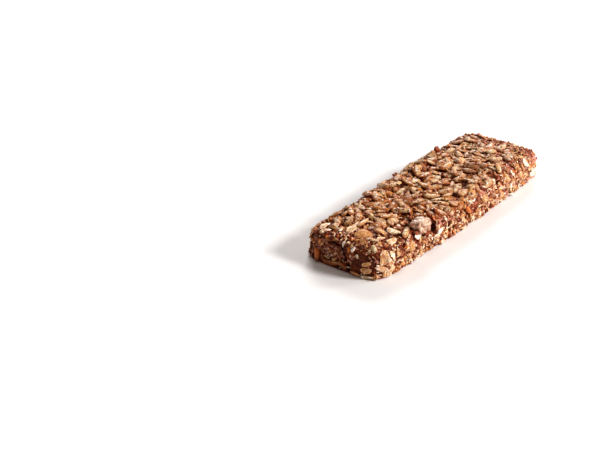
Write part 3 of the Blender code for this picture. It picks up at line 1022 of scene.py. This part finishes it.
# %% Bits, crumbs, seeds and almond
press_in(bits, 1500, TORN_SIDE, BIT, (-0.15, 0.5), 0.45, tries=4, grow=(0.4, 1.35), tones=(0.15, 0.95))
press_in(bits, 110, LEFT_BLOCK, BIT, (-0.25, 0.3), 0.4, grow=(0.3, 0.85), tones=(0.2, 0.9))
press_in(bits, 400, BARE_TOP * NOT_BARE, BIT, (-0.4, 0.1), 0.6, tries=3, grow=(0.4, 1.0), tones=(0, 0.8))

press_in(crumbs, 1800, CRUMBLY, CRUMB, (-0.1, 0.6), 1.5, tries=3, grow=(0.35, 1.25), tones=(0.15, 1.1))
press_in(crumbs, 270, LEFT_BLOCK, CRUMB, (0, 0.6), 1.5, tries=3, grow=(0.35, 1.2), tones=(0.5, 1.1))
press_in(crumbs, 1300, BARE_TOP, CRUMB, (-0.2, 0.4), 1.5, tries=3, grow=(0.3, 1.1), tones=(0.2, 0.8))

press_in(linseeds, 70, SIDE, LINSEED, (-0.2, 0.4), 0.35)
press_in(linseeds, 10, BARE_TOP, LINSEED, (-0.5, 0.2), 0.35)

press_in(sesame, 55, TORN_SIDE, SESAME, (-0.35, 0.1), 0.35)
press_in(sesame, 10, BARE_TOP, SESAME, (-0.4, 0.1), 0.35)

press_in(almonds, 18, SIDE, ALMOND, (0.2, 1.2), 0.6)
for pile in (bits, crumbs, linseeds, sesame, almonds):
    print(len(pile.places), "in", pile.name)

# %% [markdown]
# ## Crumbs on the kernels
#
# Crumbs and broken oats also stick to the kernels and fill the gaps between them. Each is dropped on the
# bar from above: a ray finds the first kernel or paste under it, so that it touches what it lies on.
# None are dropped on the hump, past the rim, or on placed pieces and bare patches.

# %% Strewing
INSET_X, INSET_Y = 5, 8  # how far inside the map's rim things are dropped, in cells
STREWN_TILT, STREWN_GROWN = 0.3, (0.3, 0.7)

kernel_surface = BVHTree.FromPolygons(np.concatenate(kernels.points).tolist(), kernels.faces)


def first_under(x, y):
    """The first point under a place, on a kernel or the paste, and the way it faces."""
    hits = [straight_down(tree, x, y) for tree in (surface, kernel_surface)]
    return max((hit for hit in hits if hit[0]), key=lambda hit: hit[0].z)


def strew(pile, count, size, depth):
    for _ in range(count):
        x = pile.random.uniform(MAP_X[INSET_X], MAP_X[-INSET_X])
        y = pile.random.uniform(MAP_Y[INSET_Y], MAP_Y[-INSET_Y])
        row, column = cells_at(np.array(x), np.array(y))
        here = heights_map[row - 1 : row + 2, column - 1 : column + 2]
        if here.min() < LOWEST_TOP or reserved[row, column] or on_hump(x, y) > 0.5:
            continue
        point, out = first_under(x, y)
        centre = point - out * pile.random.uniform(*depth)
        heading, tilt = pile.random.uniform(0, 2 * math.pi), pile.random.normal(0, STREWN_TILT, 2)
        grown = size * pile.random.uniform(*STREWN_GROWN) * pile.random.uniform(*UNEVEN, 3)
        pile.add(grown, laid(centre, out, heading, tilt))


strew(bits, 420, BIT, (0, 0.15 * MM))
strew(crumbs, 900, CRUMB, (0, 0.2 * MM))
print("with the strewn ones,", len(bits.places), "bits and", len(crumbs.places), "crumbs")

# %% [markdown]
# ## Finishes
#
# A finish is a Principled material whose colour, roughness, coat and bump vary over the surface. Sums on
# numbers are written as plain Python: `Number` wraps a node's output and overloads the operators, and
# each sum adds a Math node. All other nodes come from one method, `node`.

# %% Writing shader sums in Python
class Number:
    """A number that varies over a surface: the output of a node."""

    def __init__(self, finish, socket):
        self.finish, self.socket = finish, socket

    def sum(self, operation, first, second):
        return self.finish.node("ShaderNodeMath", {0: first, 1: second}, operation=operation)

    def __add__(self, other):
        return self.sum("ADD", self, other)

    def __radd__(self, other):
        return self.sum("ADD", other, self)

    def __sub__(self, other):
        return self.sum("SUBTRACT", self, other)

    def __rsub__(self, other):
        return self.sum("SUBTRACT", other, self)

    def __mul__(self, other):
        return self.sum("MULTIPLY", self, other)

    def __rmul__(self, other):
        return self.sum("MULTIPLY", other, self)

    def __pow__(self, other):
        return self.sum("POWER", self, other)


def colour(red, green, blue):
    """A colour given as a screen shows it, each channel from 0 to 255, as the shader takes it."""
    return *(((c / 255 + 0.055) / 1.055) ** 2.4 if c > 10 else c / 3295 for c in (red, green, blue)), 1.0


class Finish:
    """One material. Constants go straight onto the Principled shader's sockets."""

    def __init__(self, name, **constants):
        self.material = bpy.data.materials.new(name)
        self.material.use_nodes = True
        self.nodes, self.links = self.material.node_tree.nodes, self.material.node_tree.links
        self.shader = self.nodes["Principled BSDF"]
        for socket, value in constants.items():
            self.shader.inputs[socket.replace("_", " ")].default_value = value

    def feed(self, socket, value):
        if isinstance(value, Number):
            self.links.new(value.socket, socket)
        else:
            socket.default_value = value

    def node(self, kind, inputs=None, output=0, stops=(), **settings):
        """Any node: its settings first, then what its sockets hold or are linked to."""
        made = self.nodes.new(kind)
        for key, value in settings.items():
            setattr(made, key, value)
        for number, (place, value) in enumerate(stops):
            ramp = made.color_ramp.elements
            stop = ramp[number] if number < len(ramp) else ramp.new(place)
            stop.position, stop.color = place, value
        for key, value in (inputs or {}).items():
            self.feed(made.inputs[key], value)
        return Number(self, made.outputs[output])

    def kept(self, name, output="Fac"):
        """A number, or with output Vector three, that the mesh keeps for each point."""
        return self.node("ShaderNodeAttribute", attribute_name=name, output=output)

    def noise(self, size, detail=2, vector=None, roughness=0.5):
        """Soft noise with features of that size, in metres, or on a unit shape as a share of it."""
        vector = vector or self.node("ShaderNodeTexCoord", output="Object")
        inputs = {"Vector": vector, "Scale": 1 / size, "Detail": detail, "Roughness": roughness}
        return self.node("ShaderNodeTexNoise", inputs)

    def between(self, low, high, value):
        """0 below low, 1 above high and smooth in between."""
        inputs = {"Value": value, "From Min": low, "From Max": high}
        return self.node("ShaderNodeMapRange", inputs, interpolation_type="SMOOTHSTEP")

    def painted_light_far(self):
        """Painted light: a little paler towards the far end, which faces the lights, and nothing at the
        near end.
        """
        place = self.node("ShaderNodeTexCoord", output="Object")
        along = self.node("ShaderNodeSeparateXYZ", {0: place}, "X")
        return self.between(-20 * MM, 70 * MM, along) * 0.15

    def mix(self, share, first, second):
        """Two colours mixed."""
        return self.node("ShaderNodeMix", {0: share, 6: first, 7: second}, output=2, data_type="RGBA")

    def ramp(self, value, *stops):
        """Colours along a scale from 0 to 1. Each stop is its place and its colour."""
        return self.node("ShaderNodeValToRGB", {"Fac": value}, stops=stops)

    def bump(self, height, distance):
        return self.node("ShaderNodeBump", {"Height": height, "Distance": distance})

    def on(self, piece, slot, **varied):
        """Feeds the varied sockets, puts the finish on a piece and prints the slot's name."""
        for socket, value in varied.items():
            self.feed(self.shader.inputs[socket.replace("_", " ")], value)
        piece.data.materials.clear()
        piece.data.materials.append(self.material)
        print("the finish", slot, "has", len(self.nodes), "nodes")


# %% [markdown]
# ### The sticky mass
#
# Dark red-brown, with painted shade that darkens its hollows. It is paler and pinker where it was torn
# and in the bare patches, and painted light makes it paler towards the far end, which faces the lights.
# The paste shines where it is wet: the coat comes and goes with a noise of a few millimetres.

# %% Finish of the mass
DARK, BROWN, PINK = colour(84, 32, 8), colour(158, 80, 40), colour(216, 162, 144)

paste = Finish("rye_mass", Coat_Roughness=0.2, Specular_IOR_Level=0.3)
patches = paste.noise(7 * MM, 3)
grain = paste.noise(0.9 * MM, 4, roughness=0.65)
# Paler where the crumb was torn, and painted light towards the far end.
paler = paste.painted_light_far() + paste.kept("on_torn_side") * 0.08
# The relief's term is painted shade, darker in the hollows and lighter on the lumps.
uneven = patches * 0.4 + grain * 0.55 + paste.kept("relief") * 0.25 + paste.kept("bare_patch") * 0.08
light = paste.between(0.3, 0.85, uneven + paler - paste.kept("darker"))
paste.on(
    mass,
    "rye_mass",
    Base_Color=paste.ramp(light, (0, DARK), (0.45, BROWN), (1, PINK)),
    Roughness=0.6 - 0.25 * patches,
    Coat_Weight=paste.between(0.5, 0.7, paste.noise(3 * MM, 2)) * 0.35,
    Normal=paste.bump(grain, 0.5 * MM),
)

# %% [markdown]
# ### Crumbs
#
# They have the same browns as the mass. Each has a tone of its own, and the paler ones are smoother.

# %% Finish of the crumbs
crumb_piece = crumbs.joined()
crumb = Finish("rye_crumb", Specular_IOR_Level=0.2, Coat_Roughness=0.25)
tone = crumb.kept("tone")
grain = crumb.noise(0.7 * MM, 4, roughness=0.6)
# Painted shade darkens crumbs in the mass and deep in gaps; painted light pales them towards the far
# end.
uneven = tone * 0.6 + grain * 0.4 - crumb.kept("sunk") * 0.08
light = crumb.between(0.05, 1.05, uneven + crumb.painted_light_far())
crumb.on(
    crumb_piece,
    "rye_crumb",
    Base_Color=crumb.ramp(light, (0, DARK), (0.4, BROWN), (1, PINK)),
    Roughness=0.6 - 0.3 * tone,
    Coat_Weight=crumb.between(0.45, 0.6, crumb.noise(3 * MM, 2)) * 0.5,
    Normal=crumb.bump(grain, 0.8 * MM),
)

# %% [markdown]
# ### Kernels
#
# A kernel is amber, tan or cream by its tone and streaked along its length, and painted shade browns its
# edges. Patches of syrup and a thin brown film lie over that, then pale dust with a painted sheen, which
# is thinner at the edges, and painted light towards the far end. The mass stains a kernel that lies in
# it, and painted shade darkens it deep in the gaps between kernels.

# %% Finish of the kernels
kernel_piece = kernels.joined()
TRANSLUCENT = {
    "Subsurface_Weight": 0.25, "Subsurface_Radius": (1, 0.55, 0.3), "Subsurface_Scale": 0.8 * MM,
}
AMBER, TAN, CREAM = colour(170, 104, 34), colour(202, 144, 62), colour(228, 200, 150)
STREAK, EDGE, SYRUP = colour(144, 68, 14), colour(150, 74, 18), colour(184, 90, 12)
FILM, FLOUR_AND_SHEEN, STAIN_AND_GAP_SHADE = colour(130, 56, 10), colour(234, 224, 210), colour(128, 50, 4)
ALONG_KERNEL = (1, 7, 7)  # stretches a noise into streaks

kernel = Finish("sunflower_kernel", Coat_Roughness=0.3, Specular_IOR_Level=0.2, **TRANSLUCENT)
tone, sunk, rim = kernel.kept("tone"), kernel.kept("sunk"), kernel.kept("rim")
# Pale patches of dust that also paint a sheen on the kernels.
flour_and_sheen = kernel.between(0.44, 0.61, kernel.noise(2.2 * MM, 5, roughness=0.7))
lengthways = {"Vector": kernel.kept("grain", "Vector"), "Scale": ALONG_KERNEL}
streaks = kernel.noise(1.0, 3, vector=kernel.node("ShaderNodeMapping", lengthways))
syrup = kernel.between(0.46, 0.62, kernel.noise(2.8 * MM, 2))
film = kernel.between(0.42, 0.72, kernel.noise(1.3 * MM, 3))
base = kernel.ramp(tone, (0, AMBER), (0.5, TAN), (1, CREAM))
base = kernel.mix(kernel.between(0.42, 0.7, streaks) * 0.5, base, STREAK)
# Painted shade browns the rim, where a kernel curves away from the light.
base = kernel.mix(kernel.between(0.6, 1.0, rim) * 0.4, base, EDGE)
base = kernel.mix(syrup * 0.45, base, SYRUP)
base = kernel.mix(film * 0.6, base, FILM)
# Painted sheen, thinner at the rim, and painted light towards the far end.
base = kernel.mix(flour_and_sheen * (1.05 - rim) + kernel.painted_light_far(), base, FLOUR_AND_SHEEN)
# The paste's colour inside the mass, and painted shade deep in the gaps between kernels.
base = kernel.mix(kernel.between(0.1, 0.9, sunk) * 0.85, base, STAIN_AND_GAP_SHADE)
kernel.on(
    kernel_piece,
    "sunflower_kernel",
    Base_Color=base,
    Roughness=0.5 + 0.2 * streaks,
    Coat_Weight=kernel.between(0.4, 0.6, kernel.noise(1.6 * MM, 3)) * 0.5,
    Normal=kernel.bump(streaks + flour_and_sheen * 0.4, 0.35 * MM),
)

# %% [markdown]
# ### Oats
#
# An oat runs from toasted to cream by its tone and a mottling, and the paler ones have a cream rim.
# Brown specks cover it, the paste colours it inside the mass, and painted shade darkens it deep in gaps.
# Painted light pales it towards the far end. Broken bits are darkened so a little more than whole
# flakes.

# %% Finish of the oats
OAT_TOAST, OAT_PALE, OAT_CREAM = colour(170, 110, 54), colour(220, 176, 126), colour(250, 240, 226)
SPECKS, OAT_STAIN_AND_SHADE = colour(164, 92, 44), colour(140, 58, 20)


def oat_finish(piece, name, stained_and_shaded):
    """The third argument is how much of an oat the paste colours and painted shade in gaps darkens."""
    oat = Finish(name, Coat_Roughness=0.25, Specular_IOR_Level=0.3, **TRANSLUCENT)
    tone, sunk = oat.kept("tone"), oat.kept("sunk")
    mottle, speckle = oat.noise(1.2 * MM, 3), oat.noise(0.9 * MM, 4, roughness=0.7)
    # The last term of the tint is painted light towards the far end.
    tint = tone * 0.7 + oat.between(0.35, 0.65, mottle) * 0.3 + oat.painted_light_far() * 0.3
    base = oat.ramp(tint, (0.15, OAT_TOAST), (0.5, OAT_PALE), (0.85, OAT_CREAM))
    base = oat.mix(oat.between(0.8, 1.1, oat.kept("rim")) * tone * 0.4, base, OAT_CREAM)
    base = oat.mix(oat.between(0.5, 0.62, speckle) * 0.7, base, SPECKS)
    # Mottling, the paste's colour and painted shade in gaps, darkening the oat together.
    stain_and_shade = oat.between(1 - stained_and_shaded, 1.25 - stained_and_shaded, mottle * 0.6 + sunk * 0.45)
    base = oat.mix(stain_and_shade * 0.75, base, OAT_STAIN_AND_SHADE)
    oat.on(
        piece,
        "oat_flake",
        Base_Color=base,
        Roughness=0.65 - 0.2 * mottle,
        Coat_Weight=oat.between(0.45, 0.65, oat.noise(3 * MM, 2)) * 0.2,
        Normal=oat.bump(mottle, 0.15 * MM),
    )


flake_piece, bit_piece = flakes.joined(60), bits.joined()
oat_finish(flake_piece, "oat_flake", 0.45)
oat_finish(bit_piece, "oat_bit", 0.5)

# %% [markdown]
# ### Seeds, almonds and date
#
# One finish does for these four. The tone of the copy and a speckle choose between a dark and a light
# colour; the mass colours what lies in it, and painted shade darkens what lies deep in gaps of the top.
# The date goes by its speckle, has larger spots, a darker rim and little coat.

# %% Finishes of the seeds, almonds and date
SEED_STAIN_AND_SHADE = colour(84, 42, 24)


def seed_finish(
    piece, slot, dark, light, roughness, tones=0.6, darker_rim=0.0, coat=0.3, spots=0.8 * MM
):
    """Tones is how much the colour goes by the copy, and not by the speckle on each."""
    seed = Finish(slot, Coat_Roughness=0.15)
    speckle = seed.noise(spots, 3)
    share = seed.kept("tone") * tones + seed.between(0.35, 0.65, speckle) * (1 - tones)
    base = seed.mix(share - seed.kept("rim") ** 2 * darker_rim, dark, light)
    # The paste's colour inside the mass, and painted shade deep in gaps.
    base = seed.mix(seed.between(0.6, 1.0, seed.kept("sunk")) * 0.7, base, SEED_STAIN_AND_SHADE)
    seed.on(
        piece,
        slot,
        Base_Color=base,
        Roughness=roughness + 0.1 * speckle,
        Coat_Weight=coat + 0.2 * speckle,
        Normal=seed.bump(speckle, 0.05 * MM),
    )


linseed_piece, sesame_piece = linseeds.joined(), sesame.joined()
almond_piece, date_piece = almonds.joined(), dates.joined()
seed_finish(linseed_piece, "linseed", colour(166, 80, 26), colour(230, 146, 62), 0.35)
seed_finish(sesame_piece, "sesame", colour(206, 178, 142), colour(255, 240, 226), 0.4)
seed_finish(almond_piece, "almond", colour(210, 112, 46), colour(240, 206, 156), 0.5, tones=0.8)
seed_finish(
    date_piece, "date", colour(158, 110, 86), colour(222, 198, 176), 0.45,
    tones=0.1, darker_rim=0.3, coat=0.1, spots=1.1 * MM,
)

# %% [markdown]
# ## Into place
#
# All pieces were made round the slab's own middle. They are moved by `MIDDLE`, ride on the one body, and
# together stand for the plain solid.

# %% Riding on the frame
PIECES = [
    mass, kernel_piece, flake_piece, bit_piece, crumb_piece,
    linseed_piece, sesame_piece, almond_piece, date_piece,
]
for piece in PIECES:
    piece.data.transform(Matrix.Translation(MIDDLE))
    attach(piece, "root")
    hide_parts("bar")
for piece in PIECES:
    triangles = sum(len(face.vertices) - 2 for face in piece.data.polygons)
    print(piece.name, "has", triangles, "triangles")

# %% [markdown]
# ## Floor and light
#
# A pale floor. The soft key light comes from the right of the picture, with a weaker and lower one
# beside it, and a broad one from behind puts a sheen on the top. A faint warm sky fills the shadows.

# %% Floor
bpy.ops.mesh.primitive_plane_add(size=6)
floor = named("floor")
ground = Finish("pale_floor", Roughness=0.8, Base_Color=colour(246, 246, 248))
floor.data.materials.append(ground.material)
floor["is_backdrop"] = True
print("floor of", round(floor.dimensions.x, 1), "m")

# %% Lights
LIGHT_DISTANCE = 2.4
SKY_TINT, SKY_STRENGTH = (1, 0.92, 0.85, 1), 0.26


def soft_light(name, direction, size, power, tint=(1, 1, 1)):
    """A square area light that looks at the bar from that direction."""
    bpy.ops.object.light_add(type="AREA")
    light = bpy.context.active_object
    light.name = name
    way = Vector(direction).normalized()
    light.location = way * LIGHT_DISTANCE
    light.rotation_euler = way.to_track_quat("Z", "Y").to_euler()
    light.data.size, light.data.energy, light.data.color = size, power, tint


soft_light("key", (0.35, -0.85, 0.6), 0.6, 39, (1, 0.98, 0.95))
soft_light("side", (0.8, -0.62, 0.32), 0.5, 14)
soft_light("back", (0.72, 0.52, 0.5), 1.0, 29)
world = bpy.data.worlds.new("studio")
bpy.context.scene.world = world
world.use_nodes = True
sky = world.node_tree.nodes["Background"]
sky.inputs["Color"].default_value = SKY_TINT
sky.inputs["Strength"].default_value = SKY_STRENGTH
bpy.context.scene.view_settings.view_transform = "Standard"
bpy.context.scene.view_settings.look = "High Contrast"

# %% Sizes of the dressed bar, and the end
visual_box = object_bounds()
grown = [[round((v - c) / MM, 2) for c, v in zip(a, b)] for a, b in zip(CAD_BOX, visual_box)]
print("grown by", grown, "mm")
